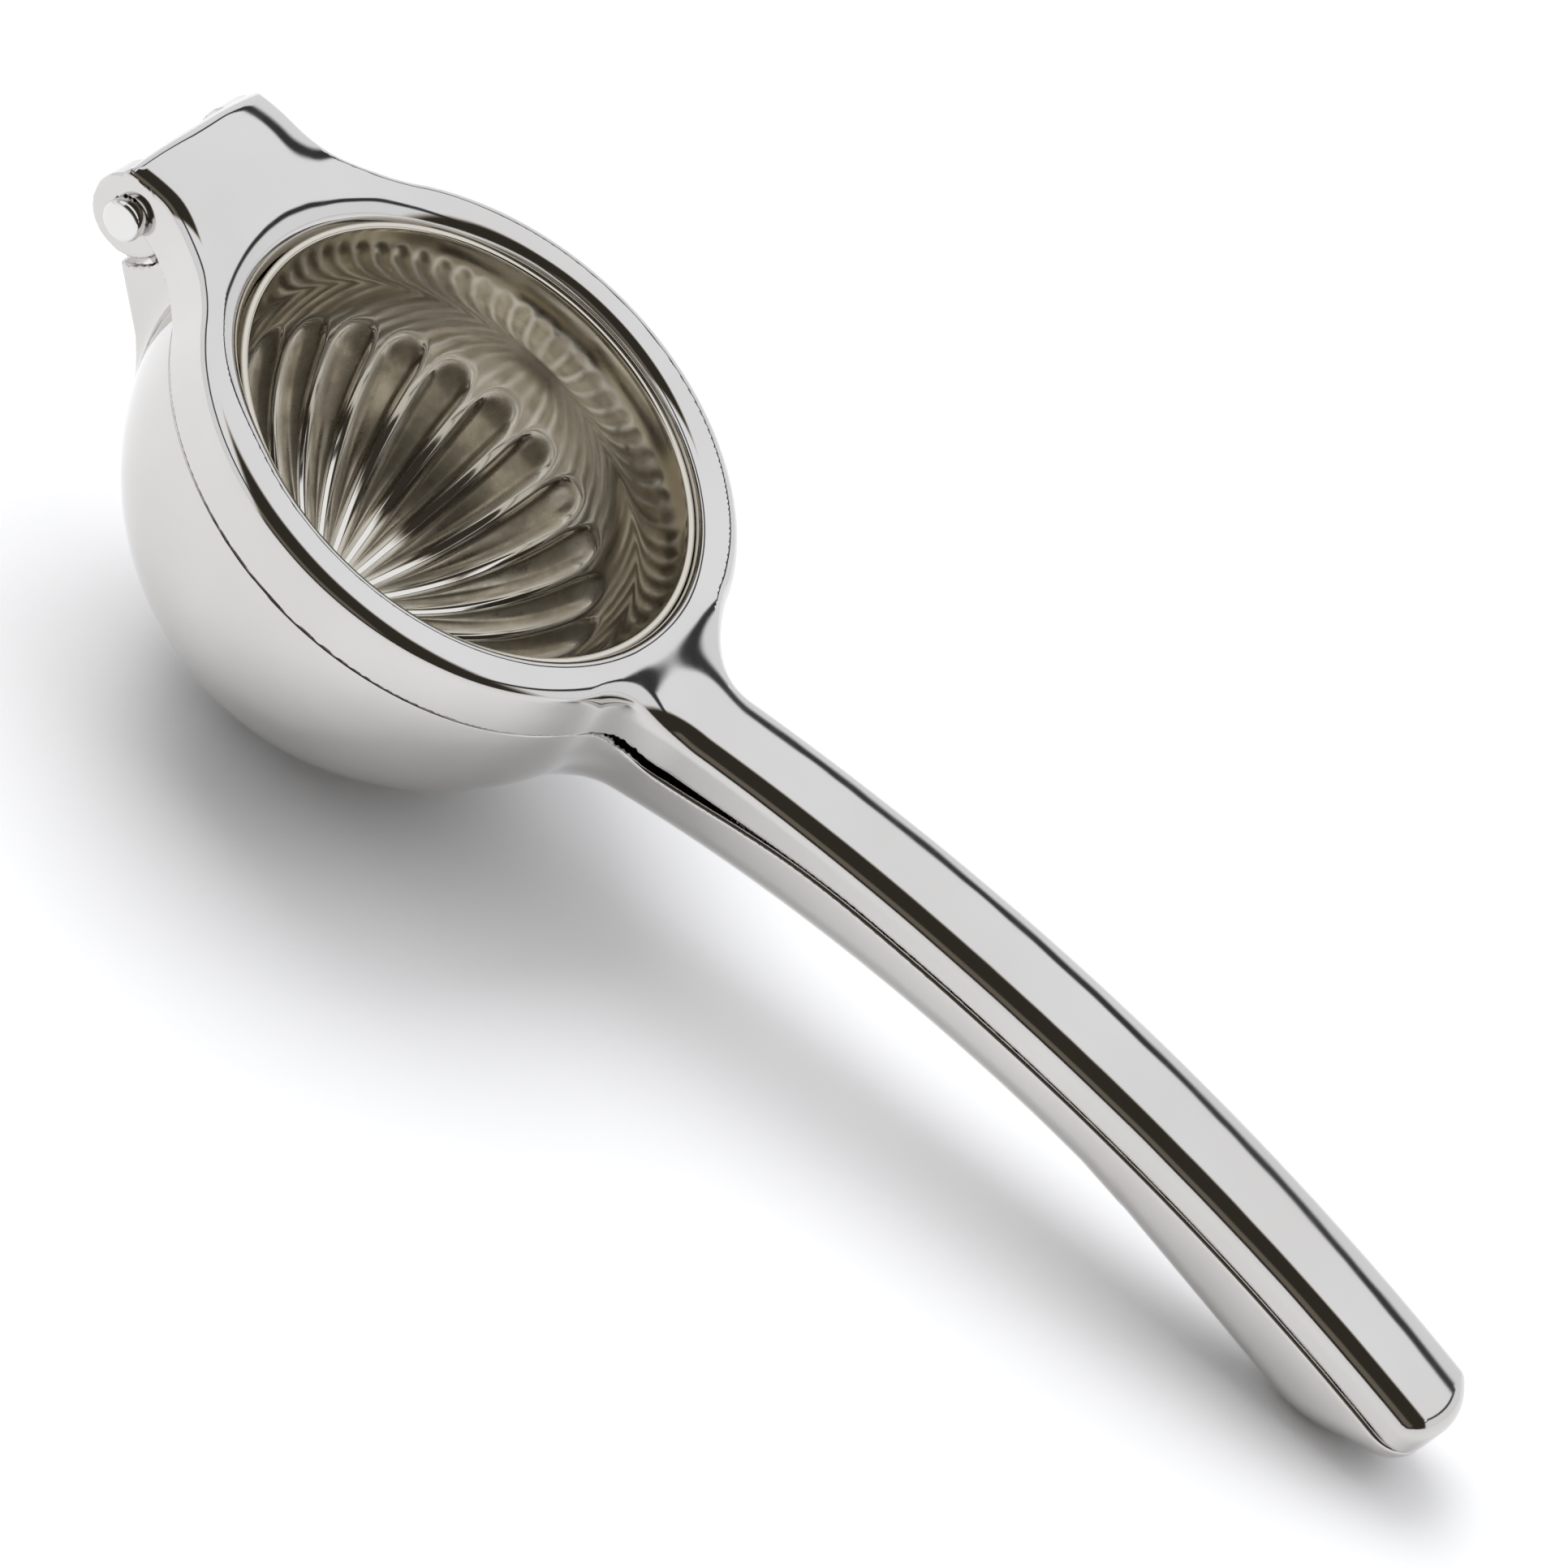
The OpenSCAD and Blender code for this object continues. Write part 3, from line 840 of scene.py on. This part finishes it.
@dataclass
class UpperLever(Piece):
    """Ring, hinge plate with its two ears, and the upper grip, cast in one."""

    name: str = "ring_lever"
    node: str = "upper_lever"
    body: Body = Body.PRESS
    plate_end: float = -51.3
    plate_top: float = 3.1
    ring_round: float = 1.9
    round_span: tuple[float, float] = (28.0, 42.0)
    outer_round: float = 2.8
    grip_crown: float = 22.0
    plate_crown: float = 34.0
    plate_flat: float = 3.5
    end_crown: float = 24.0
    end_fall: float = 7.5
    inner_round: float = 2.2
    inner_swell: float = 2.6
    swell_span: tuple[float, float] = (-12.0, -31.0)
    hinge_span: tuple[float, float] = (-34.0, -44.0)
    grip_span: tuple[float, float] = (33.0, 47.0)
    waist: float = 0.5
    waist_span: tuple[float, float] = (110.0, 45.0)
    knuckle_room: float = 0.5
    slot_reach: float = 10.4
    plate_under: float = 3.2
    ear_edge: float = 0.4
    neck_fillet: float = 9.0
    root_fillet: float = 8.0
    end_round: float = 2.0
    end_lean: float = 2.0
    end_short: float = 1.2
    end_curve: float = 11.0
    edge: float = 0.22
    grip_edge: float = 0.5
    channel_deep: float = 4.2
    channel_wall: float = 2.6
    recess_r: float = 34.6
    recess_t: float = 1.5

    def walls(self, x: Array, y: Array, z: Array) -> Array:
        """Outer walls of the ring, the hinge plate and the grip, seen from above."""
        d = self.design
        ring = np.sqrt(x * x + y * y + (z + d.bowl_drop) ** 2) - d.bowl_r
        plate = both(np.abs(y) - d.hinge_w / 2, both(self.plate_end - x, x + 20.0))
        half = d.grip_w / 2 - self.waist * smooth_step(*self.waist_span, x)
        lean = math.radians(self.end_lean)
        end_z = d.arch[1] + math.sqrt(d.seam_r**2 - (d.grip_reach - d.arch[0]) ** 2)
        end = (x - d.grip_reach + self.end_short) * math.cos(lean) + (z - end_z) * math.sin(lean)
        end = end + y * y / (2.0 * self.end_curve)
        grip = both(both(np.abs(y) - half, end, self.end_round), 20.0 - x)
        walls = either(ring, plate, self.neck_fillet)
        return either(walls, grip, self.root_fillet)

    def top(self, x: Array, y: Array, z: Array) -> Array:
        """Height above the lever's top, which is slightly crowned."""
        d = self.design
        grip = d.over_arch(x, z) - d.grip_t + y * y / (2.0 * self.grip_crown)
        hinge = smooth_step(*self.hinge_span, x)
        ring = z - (d.ring_top + (self.plate_top - d.ring_top) * hinge)
        fall_y = np.maximum(np.abs(y) - self.plate_flat, 0.0) ** 2 / (2.0 * self.plate_crown)
        fall_x = np.maximum(self.plate_end + self.end_fall - x, 0.0) ** 2 / (2.0 * self.end_crown)
        ring = ring + hinge * (fall_y + fall_x)
        share = smooth_step(*self.grip_span, x)
        return ring * (1.0 - share) + grip * share

    def ears(self, x: Array, y: Array, z: Array) -> Array:
        """Round ends of the two ears."""
        d = self.design
        end = np.hypot(x - d.pin_x, z - d.pin_z) - d.ear_r
        across = np.abs(np.abs(y) - (d.hinge_w - d.ear_t) / 2) - d.ear_t / 2
        return both(end, across, self.ear_edge)

    def solid(self, x: Array, y: Array, z: Array) -> Array:
        """Distance to the whole lever."""
        d = self.design
        r = np.hypot(x, y)
        edge = self.ring_round + (self.outer_round - self.ring_round) * smooth_step(*self.round_span, x)
        outer = both(self.walls(x, y, z), self.top(x, y, z), edge)
        inner = self.inner_round + self.inner_swell * smooth_step(*self.swell_span, x)
        outer = both(outer, d.seat_r - r, inner)
        edge = self.edge + self.grip_edge * smooth_step(d.bowl_r, d.bowl_r + d.edge_reach, x)
        body = without(outer, d.over_seam(x, y, z), edge)
        px, pz = x - d.pin_x, z - d.pin_z
        slot = np.hypot(px, pz) - (d.knuckle_r + self.knuckle_room)
        slot = np.minimum(slot, both(pz, px - self.slot_reach))
        slot = both(slot, np.abs(y) - (d.hinge_w / 2 - d.ear_t))
        under_plate = both(pz - self.plate_under, px)
        body = without(body, under_plate, self.edge)
        body = np.minimum(body, self.ears(x, y, z))
        body = without(body, slot, self.edge)
        body = without(body, both(r - self.recess_r, z - (d.seam_z + self.recess_t)))
        half = d.grip_w / 2 - self.channel_wall
        channel = both(np.abs(y) - half, d.over_arch(x, z) - self.channel_deep, d.channel_edge)
        channel = both(channel, both(d.channel_span[0] - x, x - d.channel_span[1]), d.channel_end)
        body = without(body, channel, self.edge)
        return without(body, np.hypot(px, pz) - d.pin_r)

    def build(self) -> bpy.types.Object:
        """Skins the lever and places it."""
        net = SurfaceNet(self.solid, self.skin_step() * 0.86, (-8.0, 9.0, self.design.seam_z))
        skin = net.build((-56.0, -41.0, -13.0), (172.0, 41.0, 17.0))
        return self.place(skin_object(self.name, skin, self.lie), CHROME)


@dataclass
class PressBowl(Piece):
    """Fluted bowl that turns the fruit inside out, held in the ring by its flange."""

    name: str = "fluted_press_bowl"
    node: str = "press_bowl"
    body: Body = Body.PRESS
    slot: Slot = Slot.SATIN
    flutes: int = 24
    groove_w: float = 1.2
    lobe_h: float = 1.15
    lobe_edge: float = 1.6
    flute_drop: float = 15.0
    hub_r: float = 5.0
    groove_sink: float = 0.3
    seat_gap: float = 0.05
    wall_steps: int = 20
    wall_flare: float = 1.5
    lip_round: float = 0.45
    flange_r: float = 34.4
    flange_t: float = 1.5
    around: int = 24 * 20

    def outline(self) -> list[tuple[float, float]]:
        """Outline from the inside's pole, over the lip and down the outside to its pole."""
        d = self.design
        r_in, r_out = d.press_r + self.groove_sink, d.press_r + d.press_wall
        mid = (0.0, -d.press_drop)
        inside = arc(mid, r_in, -90.0, 0.0, 96)
        start, stop = inside[-1], (d.mouth_r, -self.lip_round)
        shares = [i / self.wall_steps for i in range(1, self.wall_steps)]
        wall = [
            (start[0] + (stop[0] - start[0]) * t**self.wall_flare, start[1] + (stop[1] - start[1]) * t)
            for t in shares
        ]
        lip_in = arc((d.mouth_r + self.lip_round, -self.lip_round), self.lip_round, 180.0, 90.0, 5)
        seat = d.seat_r - self.seat_gap
        lip_out = arc((seat - self.lip_round, -self.lip_round), self.lip_round, 90.0, 0.0, 5)
        low, high = d.seam_z, d.seam_z + self.flange_t
        flange = [(seat, high), (self.flange_r, high), (self.flange_r, low), (d.seat_r - 0.2, low)]
        outside = arc(mid, r_out, 0.0, -90.0, 48)
        return inside + wall + lip_in + lip_out + flange + outside

    def flute_tree(self) -> bpy.types.NodeTree:
        """Builds the Geometry Nodes tree that raises the flutes and marks them."""
        tree = bpy.data.node_groups.new("raise_flutes", "GeometryNodeTree")
        socket = tree.interface.new_socket
        socket("Geometry", in_out="INPUT", socket_type="NodeSocketGeometry")
        for label in self.tree_sizes():
            socket(label, in_out="INPUT", socket_type="NodeSocketFloat")
        socket("Material", in_out="INPUT", socket_type="NodeSocketMaterial")
        socket("Geometry", in_out="OUTPUT", socket_type="NodeSocketGeometry")
        t = Tree(tree)
        given = t.node("NodeGroupInput")
        size = {s.name: t.out(given, s.name) for s in tree.interface.items_tree if s.in_out == "INPUT"}
        place = t.node("GeometryNodeInputPosition")
        apart = t.node("ShaderNodeSeparateXYZ", None, place)
        x, y, z = (t.out(apart, axis) for axis in "XYZ")
        r = (x * x + y * y).math("SQRT")
        turn = y.math("ARCTAN2", x)
        step = t.value(2.0 * math.pi) / size["Flutes"]
        inside_flute = (turn / step).math("FRACT") - 0.5
        across = (inside_flute * step * r).math("ABSOLUTE")
        groove = size["Groove Width"] * (r / size["Radius"] * 0.6 + 0.4)
        half = (step * r * 0.5 - groove * 0.5).math("MAXIMUM", 1e-5)
        below = z + size["Drop"]
        dip = (t.value(0.0) - below).math("ARCTAN2", r) - size["Top Angle"]
        along = dip * size["Radius"]
        tip = (half - along * 0.5).math("MAXIMUM", 0.0)
        inset = half - (across * across + tip * tip).math("SQRT")
        rise = (inset / size["Lobe Edge"]).clamp()
        shoulder = 1.0 - (1.0 - rise).math("POWER", 2.0)
        crown = (1.0 - (across / half).clamp().math("POWER", 2.0)).math("MAXIMUM", 0.0).math("SQRT")
        hub = r.ramp(size["Hub Radius"] * 0.5, size["Hub Radius"] * 1.3)
        start = along / (size["Lobe Edge"] * 4.0)
        domed = shoulder * 0.35 + crown * shoulder * 0.65
        height = size["Lobe Height"] * domed * hub * start.ramp(0.0, 1.0)
        centre = t.node("ShaderNodeCombineXYZ", None, 0.0, 0.0, t.value(0.0) - size["Drop"])
        inward = t.node("ShaderNodeVectorMath", {"operation": "SUBTRACT"}, centre, place)
        inward = t.node("ShaderNodeVectorMath", {"operation": "NORMALIZE"}, inward)
        push = t.node("ShaderNodeVectorMath", {"operation": "SCALE"}, inward, Scale=height)
        mark, per_point = "GeometryNodeStoreNamedAttribute", {"data_type": "FLOAT", "domain": "POINT"}
        lobe = t.node(mark, per_point, size["Geometry"], None, "lobe", rise.ramp(0.15, 0.6) * hub)
        band = t.node(mark, per_point, lobe, None, "band", along.ramp(MM, -MM))
        moved = t.node("GeometryNodeSetPosition", None, band, None, None, push)
        real = t.node("GeometryNodeRealizeInstances", None, moved)
        done = t.node("GeometryNodeSetMaterial", None, real, None, size["Material"])
        t.node("NodeGroupOutput", None, done)
        return tree

    def tree_sizes(self) -> dict[str, float]:
        """Sizes that the flutes' tree takes, in metres, radians and a count, by socket name."""
        d = self.design
        return {
            "Flutes": float(self.flutes),
            "Groove Width": self.groove_w * MM,
            "Lobe Height": self.lobe_h * MM,
            "Lobe Edge": self.lobe_edge * MM,
            "Hub Radius": self.hub_r * MM,
            "Radius": d.press_r * MM,
            "Top Angle": math.asin((self.flute_drop - d.press_drop) / d.press_r),
            "Drop": d.press_drop * MM,
        }

    def build(self) -> bpy.types.Object:
        """Turns the bowl, raises its flutes and places it."""
        corners, faces = lathe(self.outline(), self.around)
        mesh = bpy.data.meshes.new(self.name)
        mesh.from_pydata([tuple(c * MM for c in corner) for corner in corners], [], faces)
        mesh.flip_normals()  # the outline runs from the inside out, which leaves the faces pointing in
        raw = bpy.data.objects.new(self.name + "_blank", mesh)
        bpy.context.scene.collection.objects.link(raw)
        modifier = raw.modifiers.new("flutes", "NODES")
        modifier.node_group = self.flute_tree()
        sizes = {**self.tree_sizes(), "Material": FLUTES.material()}
        for item in modifier.node_group.interface.items_tree:
            if item.in_out == "INPUT" and item.name in sizes:
                modifier[item.identifier] = sizes[item.name]
        shaped = raw.evaluated_get(bpy.context.evaluated_depsgraph_get())
        final = bpy.data.meshes.new_from_object(shaped)
        final.name = self.name
        bpy.data.objects.remove(raw)
        final.transform(self.lie.matrix @ Matrix.Scale(1.0 / MM, 4))
        final.polygons.foreach_set("use_smooth", np.ones(len(final.polygons), bool))
        obj = bpy.data.objects.new(self.name, final)
        bpy.context.scene.collection.objects.link(obj)
        return self.place(obj, FLUTES)


@dataclass
class HingePin(Piece):
    """Rivet through the ears and the knuckle, with a low round head on each side."""

    name: str = "hinge_rivet"
    node: str = "hinge_pin"
    body: Body = Body.PRESS
    slot: Slot = Slot.STEEL
    head_r: float = 2.75
    head_h: float = 1.9
    head_edge: float = 0.6
    head_dome: float = 0.06
    head_bevel: float = 0.15
    head_gap: float = 0.01

    def build(self) -> bpy.types.Object:
        """Turns the rivet, lays it across and places it."""
        half = self.design.hinge_w / 2
        r, top = self.head_r - self.head_edge, half + self.head_h
        head = [(r * k / 6, top + self.head_dome * (1 - (k / 6) ** 2)) for k in range(1, 6)]
        head += arc((r, top - self.head_edge), self.head_edge, 90.0, 0.0, 8)
        under = half + self.head_gap
        head += [(self.head_r, half + self.head_bevel), (self.head_r - self.head_bevel, under)]
        head += [(self.design.pin_r, under)]
        outline = [(0.0, top + self.head_dome), *head, (self.design.pin_r, 0.0)]
        outline += [(x, -z) for x, z in reversed(head)] + [(0.0, -top - self.head_dome)]
        outline.reverse()
        corners, faces = lathe(outline, 96)
        mesh = bpy.data.meshes.new(self.name)
        mesh.from_pydata(corners, [], faces)
        pin = Vector((self.design.pin_x, 0.0, self.design.pin_z))
        mesh.transform(self.lie.matrix @ Matrix.Translation(pin) @ Matrix.Rotation(math.pi / 2, 4, "X"))
        mesh.polygons.foreach_set("use_smooth", np.ones(len(mesh.polygons), bool))
        obj = bpy.data.objects.new(self.name, mesh)
        bpy.context.scene.collection.objects.link(obj)
        return self.place(obj, PIN_STEEL)


# ---- Studio ----


@dataclass
class Studio:
    """White table, soft light from above and behind, and the camera."""

    design: Design
    lie: Lie
    azimuth: float = 0.55
    elevation: float = 42.16
    roll: float = 47.49
    lens: float = 127.95
    distance: float = 680.7
    aim: tuple[float, float, float] = (56.72, 0.0, -0.34)
    table_reach: float = 4.0

    def floor(self) -> None:
        """Lays the table."""
        mesh = bpy.data.meshes.new("table")
        far = self.table_reach
        corners = [(-far, -far, 0), (far, -far, 0), (far, far, 0), (-far, far, 0)]
        mesh.from_pydata(corners, [], [(0, 1, 2, 3)])
        obj = bpy.data.objects.new("table", mesh)
        bpy.context.scene.collection.objects.link(obj)
        made = bpy.data.materials.new("table_white")
        made.use_nodes = True
        shader = made.node_tree.nodes["Principled BSDF"]
        shader.inputs["Base Color"].default_value = (0.946, 0.948, 0.953, 1.0)
        shader.inputs["Roughness"].default_value = 0.65
        shader.inputs["Specular IOR Level"].default_value = 0.2
        mesh.materials.append(made)

    def lamp(self, name: str, at: Sequence[float], size: float, power: float, aim: Vector) -> None:
        """Hangs one square soft box, which lights but isn't itself mirrored in the metal.

        Args:
            name: Name of the lamp.
            at: Its place, in metres.
            size: Width, in metres.
            power: Power, in watts.
            aim: The point that it faces.
        """
        data = bpy.data.lights.new(name, "AREA")
        data.shape = "SQUARE"
        data.size = size
        data.energy = power
        obj = bpy.data.objects.new(name, data)
        obj.location = at
        obj.rotation_euler = (aim - Vector(at)).to_track_quat("-Z", "Y").to_euler()
        obj.visible_glossy = False
        bpy.context.scene.collection.objects.link(obj)

    def lights(self) -> None:
        """Hangs the soft boxes."""
        centre = Vector((0.0, 0.0, 0.03))
        self.lamp("main_softbox", (-0.68, 0.36, 1.15), 1.0, 8.5, centre)
        self.lamp("fill_ceiling", (0.0, -0.1, 2.0), 3.4, 15.0, centre)

    def sky(self) -> None:
        """Soft box overhead, a white wall beyond the table and a dark room behind the camera."""
        world = bpy.data.worlds.new("studio")
        world.use_nodes = True
        bpy.context.scene.world = world
        tree = Tree(world.node_tree)
        back = world.node_tree.nodes["Background"]
        coords = tree.node("ShaderNodeTexCoord")
        apart = tree.node("ShaderNodeSeparateXYZ", None, tree.out(coords, "Generated"))
        x, y, z = (tree.out(apart, axis) for axis in "XYZ")
        front = (y + z * 0.16).ramp(-0.17, 0.04).math("MAXIMUM", x.ramp(-0.38, -0.5))
        wall = (1.0 - z.ramp(0.36, 0.42)) * 0.95
        box = z.ramp(0.48, 0.52) * 1.05
        strip = y.ramp(-0.8, -0.88) * z.ramp(0.12, 0.16) * (1.0 - z.ramp(0.32, 0.44)) * 0.15
        low = (1.0 - z.ramp(-0.02, 0.0)) * 0.6
        room = front * (wall + box) + (1.0 - front) * (strip + low) + 0.045
        cool = tree.node(
            "ShaderNodeMix", {"data_type": "RGBA"}, Factor=front, A=(0.9, 0.78, 0.62, 1.0),
            B=(0.975, 0.985, 1.02, 1.0),
        )
        tree.plug(back.inputs["Color"], cool)
        tree.plug(back.inputs["Strength"], room)

    def camera(self) -> None:
        """Sets the camera."""
        az, el, roll = (math.radians(v) for v in (self.azimuth, self.elevation, self.roll))
        back = Vector((math.sin(az) * math.cos(el), -math.cos(az) * math.cos(el), math.sin(el)))
        right = (-back).cross(Vector((0, 0, 1))).normalized()
        up = right.cross(-back)
        across = math.cos(roll) * right + math.sin(roll) * up
        above = -math.sin(roll) * right + math.cos(roll) * up
        spot = Vector(self.aim) + back * self.distance
        level = Matrix((across, above, back)).transposed().to_4x4()
        whole = self.lie.matrix @ Matrix.Translation(spot) @ level
        data = bpy.data.cameras.new("camera")
        data.lens = self.lens
        data.sensor_width = 36.0
        data.clip_start = 0.01
        obj = bpy.data.objects.new("camera", data)
        place, turn, _ = whole.decompose()
        obj.location, obj.rotation_euler = place, turn.to_euler()
        bpy.context.scene.collection.objects.link(obj)
        bpy.context.scene.camera = obj

    def build(self) -> None:
        """Sets up the studio."""
        self.floor()
        self.lights()
        self.sky()
        self.camera()
        bpy.context.scene.view_settings.view_transform = "Standard"


def main() -> None:
    """Loads the frame, builds each piece around it and sets up the studio."""
    logging.basicConfig(level=logging.INFO, format="%(name)s: %(message)s")
    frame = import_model()
    design = Design()
    lie = Lie(design, Vector(frame["joints"][0]["pos_m"]))
    for kind in (LowerLever, UpperLever, PressBowl, HingePin):
        kind(design, lie).build()
    Studio(design, lie).build()


if __name__ == "__main__":
    main()
